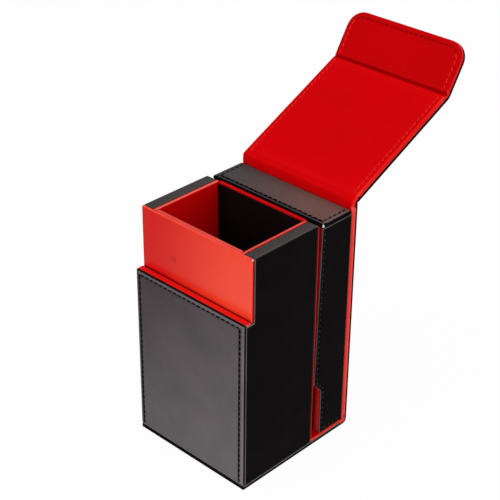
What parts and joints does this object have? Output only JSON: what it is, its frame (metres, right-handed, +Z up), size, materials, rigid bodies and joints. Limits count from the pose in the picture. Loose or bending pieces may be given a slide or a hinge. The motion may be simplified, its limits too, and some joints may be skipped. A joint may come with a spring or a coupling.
{
  "type": "dice tower",
  "caption": "Folding dice tower in a wrap-round leatherette cover, with three inner ramps, a fold-down rolling tray and a hinged lid with a magnetic tuck flap.",
  "frame": {"origin": "centre of the base's flat underside, where the closed box stands on the table", "axes": "+Z up, +Y to the back where the tray and the lid are hinged, +X to the right seen from the front"},
  "size_m": [0.1, 0.2183, 0.256],
  "materials": {
    "cover_skin": "dark grey leatherette, fine grain, satin",
    "wall_skin": "near-black leatherette, smooth, satin",
    "red_lining": "bright red leatherette lining, satin",
    "dark_board": "dark fibre board, matt",
    "magnet_nickel": "nickel-plated disc",
    "core_board": "grey-brown fibre board, matt"
  },
  "bodies": {
    "tower": {"base_outer": "cover_skin", "base_lining": "red_lining", "front_panel_outer": "cover_skin", "front_panel_pad": "core_board", "ledge_cover": "red_lining", "front_backing": "core_board", "left_side_wall": "wall_skin", "right_side_wall": "wall_skin", "front_board": "red_lining", "front_shaft_lining": "red_lining", "left_shaft_lining": "red_lining", "right_shaft_lining": "red_lining", "rear_wall": "dark_board", "rear_wall_rim": "red_lining", "rear_wall_cover": "red_lining", "upper_ramp": "red_lining", "middle_ramp": "red_lining", "exit_ramp": "red_lining", "board_magnet_left": "magnet_nickel", "board_magnet_right": "magnet_nickel", "base_fold_outer": "cover_skin", "base_fold_inner": "red_lining", "base_core": "core_board", "left_side_core": "core_board", "right_side_core": "core_board"},
    "tray": {"back_outer": "cover_skin", "back_lining": "red_lining", "tray_left_skin": "wall_skin", "tray_left_lining": "red_lining", "tray_right_skin": "wall_skin", "tray_right_lining": "red_lining", "tray_end_skin": "cover_skin", "tray_end_lining": "red_lining", "lid_fold_outer": "cover_skin", "lid_fold_inner": "red_lining", "back_core": "core_board"},
    "lid": {"lid_outer": "cover_skin", "lid_lining": "red_lining", "flap_fold_outer": "cover_skin", "flap_fold_inner": "red_lining", "lid_core": "core_board"},
    "flap": {"flap_outer": "cover_skin", "flap_lining": "red_lining", "flap_magnet_left": "magnet_nickel", "flap_magnet_right": "magnet_nickel", "flap_core": "core_board"}
  },
  "joints": [
    {"name": "tray_hinge", "type": "hinge", "parent": "tower", "child": "tray", "pos_m": [0, 0.0502, 0.0027], "axis": [-1, 0, 0], "range_deg": [0, 90]},
    {"name": "lid_hinge", "type": "hinge", "parent": "tray", "child": "lid", "pos_m": [0, 0.0502, 0.1791], "axis": [-1, 0, 0], "range_deg": [-154.5, 30]},
    {"name": "flap_hinge", "type": "hinge", "parent": "lid", "child": "flap", "pos_m": [0, 0.14389, 0.22379], "axis": [-1, 0, 0], "range_deg": [-62.5, 122.5]}
  ]
}
